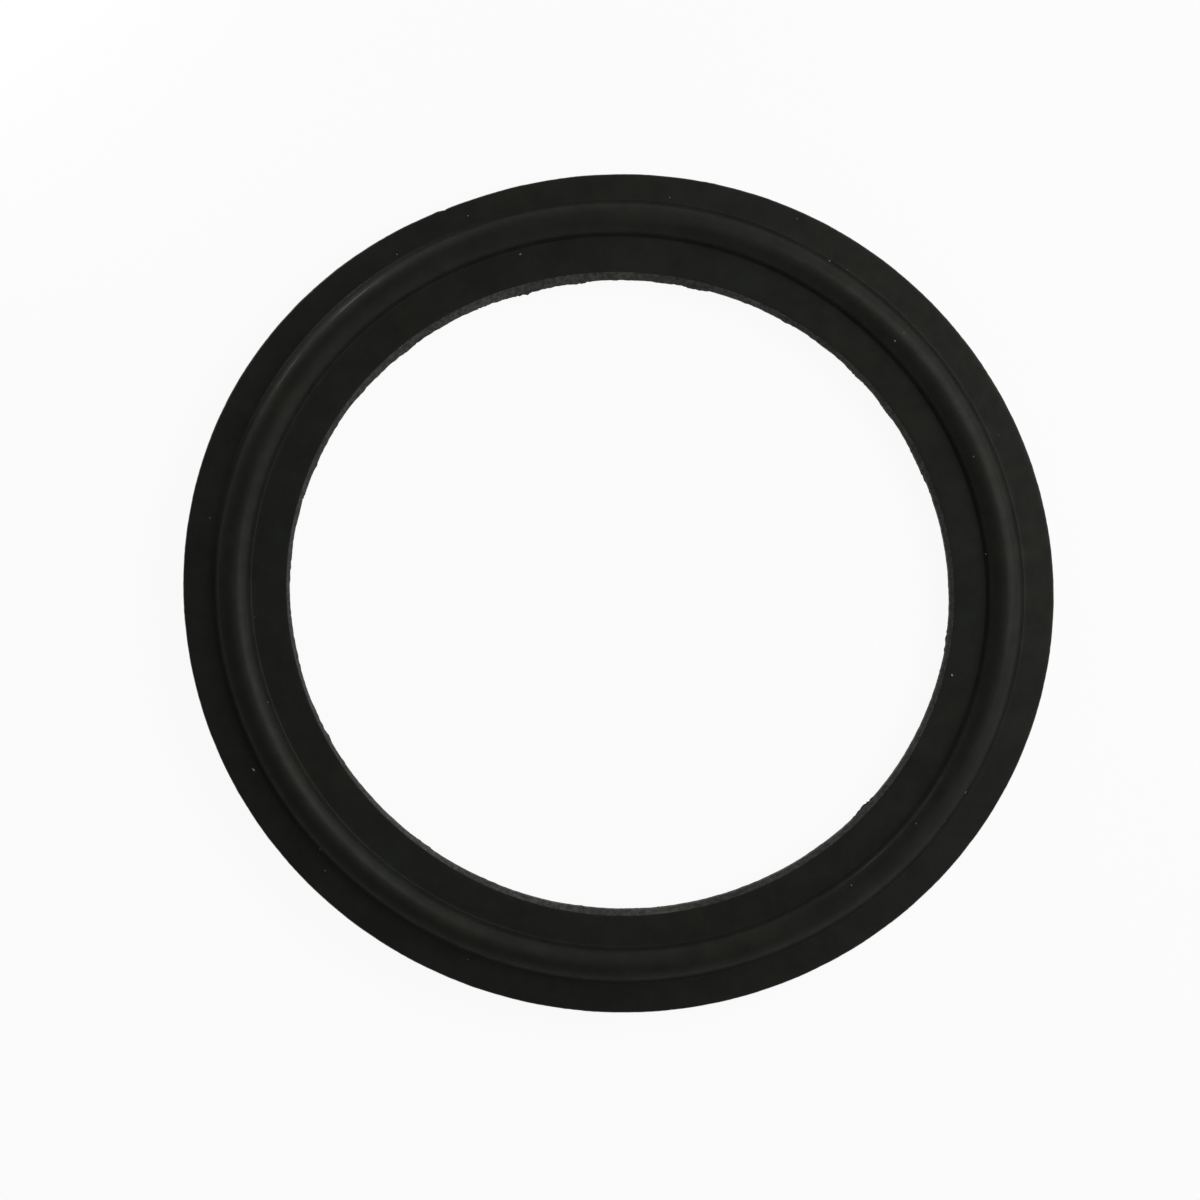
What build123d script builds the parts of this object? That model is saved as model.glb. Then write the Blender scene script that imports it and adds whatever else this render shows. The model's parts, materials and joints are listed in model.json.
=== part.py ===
from build123d import *
from math import radians, sin, tan
import os

# Sanitary clamp gasket for a two-inch hygienic tube joint. One moulded rubber ring lies between
# the flat faces of two flanged ferrules, and the bead on each of its faces drops into their grooves.
#
# Millimetres. +Z runs along the bore, and the origin is the ring's centre on its mid-plane.

# Radial sizes, from the tube's bore outwards
BORE_DIAMETER = 48.6
INNER_BAND_WIDTH = 4.1  # bore land to the bead's centre line
OUTER_BAND_WIDTH = 3.6  # bead's centre line to the rim land

# Flat web between the ferrule faces
WEB_THICKNESS = 2.0

# Bore wall: a trimmed land on the parting plane, with drafted walls above and below it
BORE_LAND_LENGTH = 1.0
BORE_WALL_RELIEF = 0.31  # how far the wall stands back from the land at each face

# Rim: the same form, with a longer land and less draft
RIM_LAND_LENGTH = 1.3
RIM_WALL_RELIEF = 0.06

# Sealing bead, the same on both faces: drafted flanks run up into a round crown
BEAD_HEIGHT = 1.1  # crown above the web's face
BEAD_CROWN_RADIUS = 1.35
BEAD_FLANK_DRAFT = 30.0  # degrees off the bore's direction

# Places that follow from the sizes above
bore_radius = BORE_DIAMETER / 2
bead_radius = bore_radius + INNER_BAND_WIDTH
rim_radius = bead_radius + OUTER_BAND_WIDTH
face_height = WEB_THICKNESS / 2

# The flanks, run on past the crown, meet at an apex that the crown's arc rounds off
flank_draft = radians(BEAD_FLANK_DRAFT)
apex_rise = BEAD_HEIGHT + BEAD_CROWN_RADIUS * (1 / sin(flank_draft) - 1)
foot_offset = apex_rise * tan(flank_draft)


def sharp_outline():
    """Corners of the half section before the crowns are rounded, mirrored about the parting plane."""
    upper = [
        (bore_radius, BORE_LAND_LENGTH / 2),
        (bore_radius + BORE_WALL_RELIEF, face_height),
        (bead_radius - foot_offset, face_height),
        (bead_radius, face_height + apex_rise),
        (bead_radius + foot_offset, face_height),
        (rim_radius - RIM_WALL_RELIEF, face_height),
        (rim_radius, RIM_LAND_LENGTH / 2),
    ]
    lower = [(radius, -height) for radius, height in reversed(upper)]
    return upper + lower


def moulded_section():
    """Half section of the ring: bore wall, web, rim wall, and a round-crowned bead on each face."""
    with BuildSketch(Plane.XZ) as section:
        with BuildLine():
            Polyline(*sharp_outline(), close=True)
        make_face()
        by_height = section.vertices().group_by(Axis.Y)
        fillet(by_height[0] + by_height[-1], radius=BEAD_CROWN_RADIUS)
    return section.sketch


def clamp_gasket():
    """The whole ring, turned from its section about the bore axis."""
    ring = revolve(moulded_section(), axis=Axis.Z)
    ring.label = "clamp_gasket"
    return ring


os.makedirs("parts", exist_ok=True)
export_step(clamp_gasket(), "parts/clamp_gasket.step")
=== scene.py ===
import json
from math import acos, cos, pi, radians, sin, tan

import bpy
import numpy as np
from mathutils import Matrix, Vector


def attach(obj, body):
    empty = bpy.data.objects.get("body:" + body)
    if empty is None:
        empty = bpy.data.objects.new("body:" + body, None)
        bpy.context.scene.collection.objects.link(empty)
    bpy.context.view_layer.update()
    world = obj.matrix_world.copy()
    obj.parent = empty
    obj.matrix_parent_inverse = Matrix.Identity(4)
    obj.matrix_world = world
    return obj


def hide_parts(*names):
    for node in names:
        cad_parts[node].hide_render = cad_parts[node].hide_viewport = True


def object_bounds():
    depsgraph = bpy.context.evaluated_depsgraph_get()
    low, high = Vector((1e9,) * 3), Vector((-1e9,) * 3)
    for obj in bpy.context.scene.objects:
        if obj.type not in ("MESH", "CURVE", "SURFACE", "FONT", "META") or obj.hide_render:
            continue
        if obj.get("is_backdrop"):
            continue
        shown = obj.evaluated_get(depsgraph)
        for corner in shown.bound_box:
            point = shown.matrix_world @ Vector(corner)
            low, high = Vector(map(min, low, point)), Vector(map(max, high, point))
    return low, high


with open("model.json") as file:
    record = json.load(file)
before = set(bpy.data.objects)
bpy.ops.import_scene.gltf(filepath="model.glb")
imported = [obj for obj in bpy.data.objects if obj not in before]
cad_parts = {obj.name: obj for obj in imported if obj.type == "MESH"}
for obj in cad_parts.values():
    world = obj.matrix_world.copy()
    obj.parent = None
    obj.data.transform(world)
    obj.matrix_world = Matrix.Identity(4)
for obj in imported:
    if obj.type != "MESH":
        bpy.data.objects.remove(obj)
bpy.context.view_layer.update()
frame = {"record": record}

# The ring's section, in millimetres
mounts = {mount["name"]: mount for mount in frame["record"]["mounts"]}
BORE_RADIUS = mounts["bore"]["dims"]["r_mm"]
BORE_LAND = mounts["bore"]["dims"]["length_mm"] / 2
BORE_RELIEF = 0.31
RIM_RADIUS = mounts["rim"]["dims"]["r_mm"]
RIM_LAND = mounts["rim"]["dims"]["length_mm"] / 2
RIM_RELIEF = 0.06
FACE_HEIGHT = mounts["upper_face"]["pos_m"][2] * 1000
BEAD_TOP = mounts["upper_bead"]["pos_m"][2] * 1000
BEAD_RADIUS = 28.4
CROWN_RADIUS = 1.35
FLANK_DRAFT = radians(30)
APEX_RISE = BEAD_TOP - FACE_HEIGHT + CROWN_RADIUS * (1 / sin(FLANK_DRAFT) - 1)
FOOT_OFFSET = APEX_RISE * tan(FLANK_DRAFT)
FOOT_FILLET = 0.12

# The flat faces fall away a little from the bead
FACE_FALL = 0.09

# The soft ring lies a little out of round
OVAL = 0.0176
OVAL_AXIS = radians(-9.6)

# Edge radii
BORE_LAND_EDGE = 0.08
BORE_MOUTH_EDGE = 0.1
RIM_FACE_EDGE = 0.12
RIM_LAND_EDGE = 0.3

# Flash left on the parting plane
FIN_HALF_THICKNESS = 0.05
FIN_REACH = 0.02

# How far the bead carries its own shift to each side of its centre line
BEAD_SPAN = 1.6

# Divisions of the mesh: steps round the ring, a section's fineness, the longest run, and steps a
# radian on small edges and on wide ones
AZIMUTH_STEPS = 780
UPPER_FINENESS = 2.6
LOWER_FINENESS = 1.3
LONGEST_RUN = 0.8
EDGE_STEPS = 2
WIDE_EDGE = 0.5
WIDE_EDGE_STEPS = 3.6

# A nick in the rim, and a step that fades away past it
NICK_AZIMUTH = 113.8
NICK_WIDTH = 0.35
NICK_DEPTH = 0.07
NICK_STEP = 0.05
NICK_STEP_LENGTH = 2.5
NICK_REACH = 1.2

# Unevenness, in millimetres
FACE_UNEVENNESS = 0.012
RIM_UNEVENNESS = 0.006
CREASE_WIDTH = 0.09

# Corners round a speck of dust
DUST_CORNERS = 7

# The world's light: where it comes from, how it falls off to the far side, and its two levels
WORLD_AZIMUTH = radians(8)
WORLD_FALL = 0.55
HORIZON_LEVEL = 1.05
OVERHEAD_LEVEL = 0.25

# Half the floor's side, in metres
FLOOR_HALF = 3.0


# Section ------------------------------------------------------------------------------------


def rounded(corners, fineness):
    """A polyline through corners (radius, height, edge radius), with its edges rounded and its
    runs divided."""
    points = [np.array(corners[0][:2])]
    for before, corner, after in zip(corners, corners[1:], corners[2:]):
        here = np.array(corner[:2])
        back = np.array(before[:2]) - here
        on = np.array(after[:2]) - here
        back /= np.linalg.norm(back)
        on /= np.linalg.norm(on)
        half = acos(np.clip(back @ on, -1, 1)) / 2
        middle = (back + on) / np.linalg.norm(back + on)
        centre = here + middle * corner[2] / sin(half)
        start = here + back * corner[2] / tan(half) - centre
        turn = pi - 2 * half
        side = np.sign(back[0] * on[1] - back[1] * on[0])
        steps = WIDE_EDGE_STEPS if corner[2] > WIDE_EDGE else EDGE_STEPS
        count = max(3, int(np.ceil(turn * fineness * steps)))
        for step in range(count + 1):
            angle = -side * turn * step / count
            c, s = cos(angle), sin(angle)
            turned = (c * start[0] - s * start[1], s * start[0] + c * start[1])
            points.append(centre + np.array(turned))
    points.append(np.array(corners[-1][:2]))
    divided = [points[0]]
    for a, b in zip(points, points[1:]):
        count = max(1, int(np.ceil(np.linalg.norm(b - a) / LONGEST_RUN * fineness)))
        divided += [a + (b - a) * (step + 1) / count for step in range(count)]
    return np.array(divided)


def half_section(fineness):
    """From the parting plane at the bore, over one face, to the parting plane at the rim."""
    corners = [
        (BORE_RADIUS, 0, 0),
        (BORE_RADIUS, BORE_LAND, BORE_LAND_EDGE),
        (BORE_RADIUS + BORE_RELIEF, FACE_HEIGHT - FACE_FALL, BORE_MOUTH_EDGE),
        (BEAD_RADIUS - FOOT_OFFSET, FACE_HEIGHT, FOOT_FILLET),
        (BEAD_RADIUS, FACE_HEIGHT + APEX_RISE, CROWN_RADIUS),
        (BEAD_RADIUS + FOOT_OFFSET, FACE_HEIGHT, FOOT_FILLET),
        (RIM_RADIUS - RIM_RELIEF, FACE_HEIGHT - FACE_FALL, RIM_FACE_EDGE),
        (RIM_RADIUS, RIM_LAND, RIM_LAND_EDGE),
        (RIM_RADIUS, 0, 0),
    ]
    return rounded(corners, fineness)


def whole_section():
    """The closed section, finer on the upper face, with a fin's thickness at the parting plane."""
    upper = half_section(UPPER_FINENESS)
    lower = half_section(LOWER_FINENESS)[::-1] * (1, -1)
    edge = [(BORE_RADIUS, height) for height in (-FIN_HALF_THICKNESS, 0, FIN_HALF_THICKNESS)]
    return np.vstack([edge, upper[1:], lower[1:-1]])


# Form all round -----------------------------------------------------------------------------


def around(table, azimuth, blur=3.0):
    """A smooth closed curve through measured (azimuth, value) points, in degrees."""
    grid = np.arange(0, 360, 0.25)
    where, value = np.array(sorted(table), float).T
    line = np.interp(grid, where, value, period=360)
    offset = np.minimum(grid, 360 - grid)
    weight = np.exp(-0.5 * (offset / blur) ** 2)
    smooth = np.fft.ifft(np.fft.fft(line) * np.fft.fft(weight / weight.sum())).real
    return np.interp(azimuth % 360, grid, smooth, period=360)


def ripple(azimuth, low, high, seed):
    """Closed seeded noise between two numbers of waves a turn, about 1 high."""
    source = np.random.default_rng(seed)
    waves = np.unique(np.geomspace(low, high, 40).astype(int))
    total = np.zeros_like(azimuth)
    for wave in waves:
        total += source.normal() * np.cos(np.radians(azimuth) * wave + source.uniform(0, 2 * pi))
    return total / np.sqrt(len(waves) / 2)


def near(azimuth, centre, width):
    """A bump 1 high at one azimuth, in degrees."""
    offset = (azimuth - centre + 180) % 360 - 180
    return np.exp(-0.5 * (offset / width) ** 2)


# Radial shifts in millimetres, measured all round: azimuth, shift. The soft ring is pressed in at
# about 100 degrees. The bead's are judged from measurements
LAND_SHIFT = [
    (352, 0.10), (322, 0.0), (292, -0.12), (262, -0.19), (232, -0.23), (202, -0.10),
    (172, -0.01), (152, -0.02), (142, -0.09), (132, -0.20), (122, -0.33), (112, -0.43),
    (102, -0.57), (92, -0.50), (82, -0.42), (72, -0.32), (62, -0.20), (52, -0.11), (22, -0.09),
]
MOUTH_SHIFT = [
    (352, 0.06), (322, 0.02), (292, -0.04), (262, -0.06), (232, -0.28), (202, -0.24),
    (172, -0.08), (152, 0.02), (132, 0.01), (112, -0.13), (102, -0.18), (92, -0.18),
    (82, -0.18), (72, -0.15), (62, -0.11), (52, -0.09), (22, -0.02),
]
BEAD_SHIFT = [
    (352, 0.0), (322, -0.05), (262, -0.05), (232, -0.09), (202, -0.07), (187, 0.06),
    (172, 0.14), (157, 0.18), (142, 0.20), (127, 0.18), (112, 0.08), (92, 0.10), (77, 0.13),
    (67, 0.10), (52, 0.0), (22, 0.0),
]
RIM_SHIFT = [
    (352, 0.03), (262, 0.0), (232, 0.02), (187, 0.03), (172, 0.10), (162, 0.16), (152, 0.20),
    (142, 0.14), (132, 0.05), (122, -0.10), (112, -0.32), (102, -0.28), (92, -0.19),
    (82, -0.09), (72, 0.0), (62, 0.05), (52, 0.05), (32, 0.02),
]
# Trimmed flash that stands out from the bore's land: azimuth, width in degrees, reach
FLASH_BITS = [
    (318, 1.8, 0.13), (107, 2.2, 0.10), (97, 1.0, 0.08), (76, 1.8, 0.08), (20, 2.5, 0.05),
    (350, 5, 0.05), (277, 0.8, 0.06), (234, 0.8, 0.05), (207, 0.8, 0.05), (162, 1.2, 0.05),
    (130, 1.0, 0.06), (59, 0.8, 0.06), (44, 1.5, 0.07), (35, 1.5, 0.06),
]

# Creases: azimuth, width in degrees, radius, depth
CREASES = [(318, 9, 27.14, 0.035), (316, 7, 27.71, 0.02), (108, 6, 26.9, 0.03)]

# Specks of dust on the upper face, at measured places: azimuth, radius, size
DUST = [
    (206.5, 30.26, 0.22), (221.3, 29.59, 0.12), (224.1, 30.46, 0.10), (122.3, 30.21, 0.12),
    (111.0, 30.65, 0.12), (105.6, 26.64, 0.16), (82.8, 30.23, 0.10), (65.3, 31.38, 0.10),
    (58.6, 29.67, 0.15), (55.7, 29.85, 0.13), (43.7, 28.87, 0.12), (43.7, 27.96, 0.13),
    (23.6, 30.52, 0.09), (22.2, 28.05, 0.11), (6.7, 27.15, 0.14), (346.0, 25.16, 0.18),
    (329.4, 29.49, 0.16), (321.3, 27.80, 0.13), (307.4, 27.84, 0.11), (324.1, 29.45, 0.09),
    (184.0, 26.86, 0.10), (169.4, 30.44, 0.09), (197.8, 27.24, 0.11), (247.8, 30.21, 0.09),
]


def radial_shift(azimuth, radius):
    """How far the ring's parts lie in or out of true."""
    stations = [
        (BORE_RADIUS, around(LAND_SHIFT, azimuth)),
        (BORE_RADIUS + BORE_RELIEF, around(MOUTH_SHIFT, azimuth)),
        (BEAD_RADIUS - BEAD_SPAN, around(BEAD_SHIFT, azimuth)),
        (BEAD_RADIUS + BEAD_SPAN, around(BEAD_SHIFT, azimuth)),
        (RIM_RADIUS, around(RIM_SHIFT, azimuth)),
    ]
    where = [station[0] for station in stations]
    values = np.stack([station[1] for station in stations])
    place = np.clip(np.searchsorted(where, radius) - 1, 0, len(where) - 2)
    inner = np.take(where, place)
    outer = np.take(where, place + 1)
    share = np.clip((radius - inner) / (outer - inner), 0, 1)
    columns = np.arange(len(azimuth))[:, None]
    return values[place, columns] * (1 - share) + values[place + 1, columns] * share


def azimuth_steps(count):
    """Azimuths all round, closer together at the nick and the flash."""
    grid = np.arange(0, 360, 0.05)
    density = 1 + 2.5 * near(grid, NICK_AZIMUTH, 2.0)
    for centre, width, _ in FLASH_BITS:
        density += 0.8 * near(grid, centre, width)
    total = np.concatenate([[0], np.cumsum(density)])
    return np.interp(np.arange(count) * total[-1] / count, total, np.append(grid, 360))


def laid(azimuth, radius, height):
    """Points of the true ring, in millimetres and degrees, as the soft ring lies, in metres."""
    angle = np.radians(azimuth)
    x, y = radius * np.cos(angle), radius * np.sin(angle)
    c, s = cos(OVAL_AXIS), sin(OVAL_AXIS)
    along = (x * c + y * s) * (1 + OVAL)
    across = (-x * s + y * c) * (1 - OVAL)
    return np.stack([along * c - across * s, along * s + across * c, height], axis=-1) / 1000


def ring_points(azimuth, section):
    """All of the ring's points, one row for each azimuth."""
    radius = np.broadcast_to(section[:, 0], (len(azimuth), len(section))).copy()
    height = np.broadcast_to(section[:, 1], radius.shape).copy()
    turn = azimuth[:, None]
    shift = radial_shift(azimuth, radius)

    # Flash along the bore's land, and the land's trimmed and slightly ragged edges
    bits = sum(reach * near(azimuth, centre, width) for centre, width, reach in FLASH_BITS)
    ragged = 0.010 * ripple(azimuth, 60, 700, 3) + 0.012 * ripple(azimuth, 12, 60, 4)
    fin = np.maximum(0, FIN_REACH + bits * (1 + 0.25 * ripple(azimuth, 80, 500, 5)) + ragged)
    at_bore = np.exp(-((section[:, 0] - BORE_RADIUS) / 0.05) ** 2)
    at_plane = np.abs(section[:, 1]) < 1e-9
    shift -= fin[:, None] * (at_bore * at_plane) + 0.5 * ragged[:, None] * at_bore

    # A nick in the rim
    rim_share = np.clip((section[:, 0] - RIM_RADIUS + NICK_REACH) / NICK_REACH, 0, 1) ** 2
    past = azimuth - NICK_AZIMUTH
    step = np.where(past > 0, np.exp(-past.clip(0) / NICK_STEP_LENGTH), 0)
    notch = NICK_DEPTH * near(azimuth, NICK_AZIMUTH, NICK_WIDTH) - NICK_STEP * step
    shift -= notch[:, None] * rim_share
    shift += RIM_UNEVENNESS * ripple(azimuth, 40, 400, 6)[:, None] * rim_share

    # The faces aren't dead flat
    upper = np.clip(section[:, 1] / FACE_HEIGHT, -1, 1)
    height += FACE_UNEVENNESS * ripple(azimuth, 2, 24, 8)[:, None] * upper

    # Creases along the upper bead's inner foot
    for centre, width, at_radius, depth in CREASES:
        line = np.exp(-((section[:, 0] - at_radius) / CREASE_WIDTH) ** 2) * (section[:, 1] > 0)
        height -= depth * near(azimuth, centre, width)[:, None] * line

    return laid(turn, radius + shift, height)


def make_ring():
    """The ring's mesh, with the bore wall in its own material."""
    section = whole_section()
    azimuth = azimuth_steps(AZIMUTH_STEPS)
    points = ring_points(azimuth, section)
    rows, columns = points.shape[:2]
    index = np.arange(rows * columns).reshape(rows, columns)
    ahead = np.roll(index, -1, axis=0)
    faces = np.stack(
        [index, np.roll(index, -1, axis=1), np.roll(ahead, -1, axis=1), ahead], axis=-1
    )
    mesh = bpy.data.meshes.new("gasket_ring")
    mesh.from_pydata(points.reshape(-1, 3).tolist(), [], faces.reshape(-1, 4).tolist())
    mesh.validate()
    mesh.shade_smooth()
    mesh.materials.append(rubber_material())
    mesh.materials.append(trimmed_material())
    on_wall = section[:, 0] < BORE_RADIUS + BORE_RELIEF
    cut = on_wall & np.roll(on_wall, -1)
    mesh.polygons.foreach_set("material_index", np.tile(cut.astype(np.int32), rows))
    ring = bpy.data.objects.new("gasket_ring", mesh)
    bpy.context.collection.objects.link(ring)
    return ring


def make_dust():
    """Small irregular lumps that lie on the ring's upper face."""
    source = np.random.default_rng(21)
    upper = half_section(UPPER_FINENESS)
    over = upper[upper[:, 1] > FACE_HEIGHT - FACE_FALL - 0.01]
    vertices, faces = [], []
    for azimuth, radius, size in DUST:
        shift = radial_shift(np.array([azimuth]), np.array([[radius]]))[0, 0]
        height = np.interp(radius, over[:, 0], over[:, 1])
        centre = laid(azimuth, radius + shift, height) * 1000
        heading = source.uniform(0, pi)
        stretch = source.uniform(1.0, 1.8)
        start = len(vertices)
        for level, share in ((0.0, 1.0), (0.3, 0.8)):
            for corner in range(DUST_CORNERS):
                angle = 2 * pi * corner / DUST_CORNERS
                reach = 0.5 * size * share * source.uniform(0.7, 1.15)
                a, b = reach * stretch * cos(angle), reach / stretch * sin(angle)
                x = a * cos(heading) - b * sin(heading)
                y = a * sin(heading) + b * cos(heading)
                vertices.append((centre + (x, y, level * size)) / 1000)
        top = len(vertices)
        vertices.append((centre + (0, 0, 0.42 * size)) / 1000)
        vertices.append((centre - (0, 0, 0.2 * size)) / 1000)
        for corner in range(DUST_CORNERS):
            low, low_on = start + corner, start + (corner + 1) % DUST_CORNERS
            high, high_on = low + DUST_CORNERS, low_on + DUST_CORNERS
            faces.append((low, low_on, high_on, high))
            faces.append((high, high_on, top))
            faces.append((low_on, low, top + 1))
    mesh = bpy.data.meshes.new("dust_specks")
    mesh.from_pydata([tuple(point) for point in vertices], [], faces)
    mesh.validate()
    dust = bpy.data.objects.new("dust_specks", mesh)
    bpy.context.collection.objects.link(dust)
    return dust


# Materials ----------------------------------------------------------------------------------


class Nodes:
    """Short calls for building one material's nodes."""

    def __init__(self, name):
        self.material = bpy.data.materials.new(name)
        self.material.use_nodes = True
        self.tree = self.material.node_tree
        self.shader = self.tree.nodes["Principled BSDF"]

    def add(self, kind, settings=None, **inputs):
        node = self.tree.nodes.new(kind)
        for name, value in (settings or {}).items():
            setattr(node, name, value)
        self.fill(node, **inputs)
        return node

    def fill(self, node, **inputs):
        for name, value in inputs.items():
            self.feed(node.inputs[name.replace("_", " ")], value)

    def feed(self, socket, value):
        if isinstance(value, bpy.types.NodeSocket):
            self.tree.links.new(value, socket)
        else:
            socket.default_value = value

    def noise(self, where, scale, detail=3.0, roughness=0.5):
        return self.add(
            "ShaderNodeTexNoise", Vector=where, Scale=scale, Detail=detail, Roughness=roughness
        ).outputs[0]

    def ramp(self, value, low, high, start=0.0, end=1.0):
        return self.add(
            "ShaderNodeMapRange", Value=value, From_Min=low, From_Max=high, To_Min=start, To_Max=end
        ).outputs[0]

    def mix(self, share, first, second):
        node = self.add("ShaderNodeMix", {"data_type": "RGBA"})
        self.feed(node.inputs[0], share)
        self.feed(node.inputs[6], first)
        self.feed(node.inputs[7], second)
        return node.outputs[2]

    def math(self, operation, first, second=0.0):
        node = self.add("ShaderNodeMath", {"operation": operation})
        self.feed(node.inputs[0], first)
        self.feed(node.inputs[1], second)
        return node.outputs[0]


def rubber_material():
    """Near-black moulded rubber: faintly mottled, with a fine grain and a trace of bloom."""
    n = Nodes("rubber")
    where = n.add("ShaderNodeTexCoord").outputs["Object"]
    mottle = n.ramp(n.noise(where, 420, 5, 0.65), 0.36, 0.64)
    tint = n.ramp(n.noise(where, 140, 2), 0.4, 0.6)
    dark = n.mix(tint, (0.0029, 0.0034, 0.0022, 1), (0.0028, 0.0031, 0.0029, 1))
    light = n.mix(tint, (0.0077, 0.0079, 0.0052, 1), (0.0063, 0.0075, 0.0062, 1))
    body = n.mix(mottle, dark, light)
    bloom = n.ramp(n.noise(where, 5200, 2), 0.68, 0.80)
    bloomed = n.mix(n.math("MULTIPLY", bloom, 0.35), body, (0.035, 0.035, 0.031, 1))
    rough = n.ramp(n.noise(where, 900, 3), 0.3, 0.7, 0.56, 0.66)
    n.fill(n.shader, Base_Color=bloomed, Roughness=rough)
    n.fill(n.shader, Specular_IOR_Level=0.27, Specular_Tint=(0.95, 1.0, 0.88, 1))
    n.fill(n.shader, Coat_Weight=0.06, Coat_Roughness=0.2)
    grain, swell = n.noise(where, 7000, 3, 0.6), n.noise(where, 700, 3)
    fine = n.add("ShaderNodeBump", Strength=0.25, Distance=0.00002, Height=grain)
    broad = n.add("ShaderNodeBump", Strength=0.5, Distance=0.00006, Height=swell)
    n.fill(broad, Normal=fine.outputs[0])
    n.fill(n.shader, Normal=broad.outputs[0])
    return n.material


def trimmed_material():
    """The bore's cut wall: paler and speckled where the moulded skin is gone."""
    n = Nodes("trimmed_rubber")
    where = n.add("ShaderNodeTexCoord").outputs["Object"]
    speckle = n.ramp(n.noise(where, 3200, 3, 0.6), 0.38, 0.62)
    patch = n.ramp(n.noise(where, 160, 2), 0.35, 0.65)
    dull = n.mix(patch, (0.014, 0.015, 0.012, 1), (0.024, 0.025, 0.021, 1))
    pale = n.mix(patch, (0.040, 0.041, 0.035, 1), (0.068, 0.069, 0.061, 1))
    grit = n.noise(where, 5000, 3, 0.6)
    grain = n.add("ShaderNodeBump", Strength=0.5, Distance=0.00003, Height=grit)
    n.fill(n.shader, Base_Color=n.mix(speckle, dull, pale), Roughness=0.75)
    n.fill(n.shader, Specular_IOR_Level=0.3, Normal=grain.outputs[0])
    return n.material


def dust_material():
    """Pale grey lint, a little uneven."""
    n = Nodes("dust")
    where = n.add("ShaderNodeTexCoord").outputs["Object"]
    shade = n.ramp(n.noise(where, 3000, 2), 0.35, 0.65)
    lint = n.mix(shade, (0.10, 0.10, 0.085, 1), (0.30, 0.30, 0.26, 1))
    n.fill(n.shader, Base_Color=lint, Roughness=0.9, Specular_IOR_Level=0.2)
    return n.material


def floor_material():
    """Pale floor: white to the camera, and darker where the ring's shadow falls."""
    n = Nodes("floor")
    n.fill(n.shader, Base_Color=(0.9, 0.9, 0.9, 1), Roughness=0.9)
    path = n.add("ShaderNodeLightPath")
    seen = n.math("MAXIMUM", path.outputs["Is Camera Ray"], path.outputs["Is Glossy Ray"])
    seen = n.math("MAXIMUM", seen, path.outputs["Is Transmission Ray"])
    white = n.add("ShaderNodeEmission", Color=(1, 1, 1, 1), Strength=1.0)
    lit = n.add("ShaderNodeMixShader")
    n.feed(lit.inputs[0], n.math("MULTIPLY", seen, 0.93))
    n.feed(lit.inputs[1], n.shader.outputs[0])
    n.feed(lit.inputs[2], white.outputs[0])
    clear = n.add("ShaderNodeBsdfTransparent")
    below = n.add("ShaderNodeMixShader")
    n.feed(below.inputs[0], n.add("ShaderNodeNewGeometry").outputs["Backfacing"])
    n.feed(below.inputs[1], lit.outputs[0])
    n.feed(below.inputs[2], clear.outputs[0])
    n.tree.links.new(below.outputs[0], n.tree.nodes["Material Output"].inputs["Surface"])
    return n.material


# Surroundings -------------------------------------------------------------------------------


def make_floor(height):
    """A pale square that the ring lies on."""
    mesh = bpy.data.meshes.new("floor")
    sides = [(-1, -1), (1, -1), (1, 1), (-1, 1)]
    corners = [(x * FLOOR_HALF, y * FLOOR_HALF, height) for x, y in sides]
    mesh.from_pydata(corners, [], [(0, 1, 2, 3)])
    mesh.materials.append(floor_material())
    floor = bpy.data.objects.new("floor", mesh)
    bpy.context.collection.objects.link(floor)
    floor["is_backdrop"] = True


def make_lamp(name, azimuth, elevation, distance, size, power):
    """A rectangular lamp aimed at the origin. Degrees, metres and watts."""
    a, e = radians(azimuth), radians(elevation)
    away = np.array([cos(a) * cos(e), sin(a) * cos(e), sin(e)])
    lamp = bpy.data.lights.new(name, "AREA")
    lamp.shape = "RECTANGLE"
    lamp.size, lamp.size_y = size
    lamp.energy = power
    holder = bpy.data.objects.new(name, lamp)
    bpy.context.collection.objects.link(holder)
    holder.location = away * distance
    holder.rotation_euler = Vector(away).to_track_quat("Z", "Y").to_euler()


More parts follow.
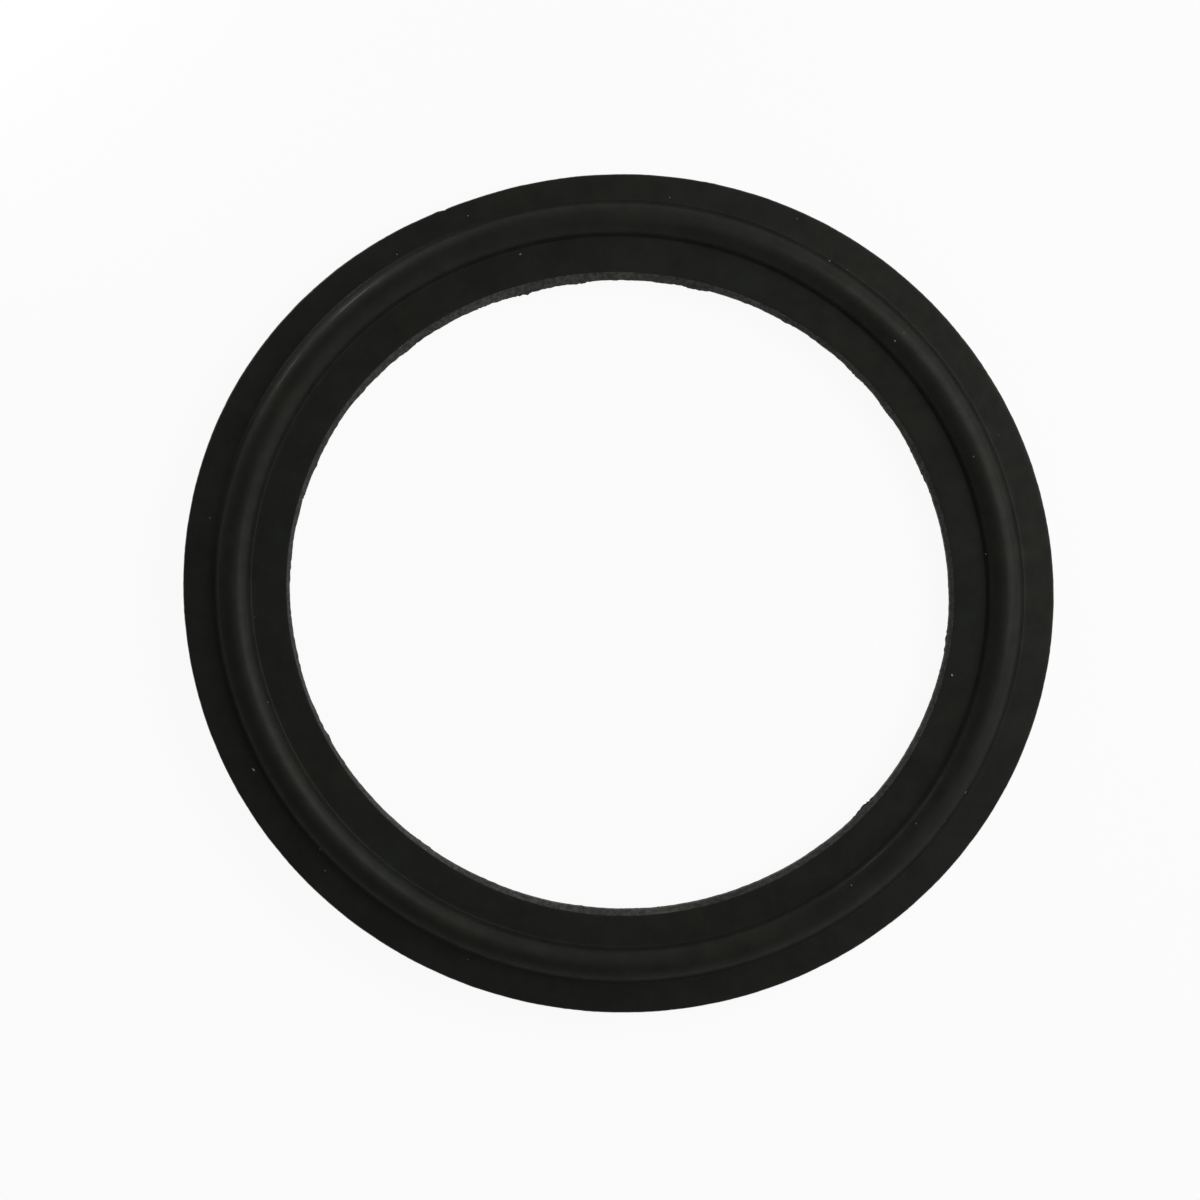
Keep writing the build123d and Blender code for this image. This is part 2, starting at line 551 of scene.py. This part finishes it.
def make_world():
    """Soft daylight from the right (+X), weaker overhead and weakest from the left."""
    world = bpy.data.worlds.new("studio")
    bpy.context.scene.world = world
    world.use_nodes = True
    tree = world.node_tree
    coordinates = tree.nodes.new("ShaderNodeTexCoord")
    side = tree.nodes.new("ShaderNodeVectorMath")
    side.operation = "DOT_PRODUCT"
    side.inputs[1].default_value = (cos(WORLD_AZIMUTH), sin(WORLD_AZIMUTH), 0)
    split = tree.nodes.new("ShaderNodeSeparateXYZ")
    across = tree.nodes.new("ShaderNodeMapRange")
    across.inputs["From Min"].default_value = -1
    upwards = tree.nodes.new("ShaderNodeMapRange")
    upwards.inputs["To Min"].default_value = HORIZON_LEVEL
    upwards.inputs["To Max"].default_value = OVERHEAD_LEVEL
    spread = tree.nodes.new("ShaderNodeMath")
    spread.operation = "POWER"
    spread.inputs[1].default_value = WORLD_FALL
    level = tree.nodes.new("ShaderNodeMath")
    level.operation = "MULTIPLY"
    tree.links.new(coordinates.outputs["Generated"], side.inputs[0])
    tree.links.new(coordinates.outputs["Generated"], split.inputs[0])
    tree.links.new(side.outputs["Value"], across.inputs["Value"])
    tree.links.new(split.outputs["Z"], upwards.inputs["Value"])
    tree.links.new(across.outputs[0], spread.inputs[0])
    tree.links.new(spread.outputs[0], level.inputs[0])
    tree.links.new(upwards.outputs[0], level.inputs[1])
    tree.links.new(level.outputs[0], tree.nodes["Background"].inputs["Strength"])
    tree.nodes["Background"].inputs["Color"].default_value = (1, 1, 1, 1)


def make_camera():
    """Looks almost straight down, from over the upper left of the opening (-X, +Y)."""
    lean_x, lean_y, distance = radians(2.0), radians(2.5), 0.4
    target = np.array([-1.473, -0.499, 0]) / 1000
    camera = bpy.data.cameras.new("camera")
    camera.lens = 160.2
    camera.sensor_width = 36
    camera.clip_start = 0.01
    holder = bpy.data.objects.new("camera", camera)
    bpy.context.collection.objects.link(holder)
    back = np.array([-sin(lean_x) * cos(lean_y), sin(lean_y), cos(lean_x) * cos(lean_y)])
    holder.location = target + distance * back
    holder.rotation_euler = (-lean_y, -lean_x, 0)
    bpy.context.scene.camera = holder


ring = make_ring()
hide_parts("clamp_gasket")
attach(ring, "root")
dust = make_dust()
dust.data.materials.append(dust_material())
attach(dust, "root")
make_floor(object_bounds()[0][2])
make_lamp("key", 21, 46, 0.165, (0.13, 0.11), 0.112)
make_lamp("left_lamp", 146, 6, 0.08, (0.007, 0.007), 0.0027)
make_lamp("upper_left_lamp", 131, 6, 0.08, (0.007, 0.007), 0.0058)
make_world()
make_camera()
bpy.context.scene.view_settings.view_transform = "Standard"
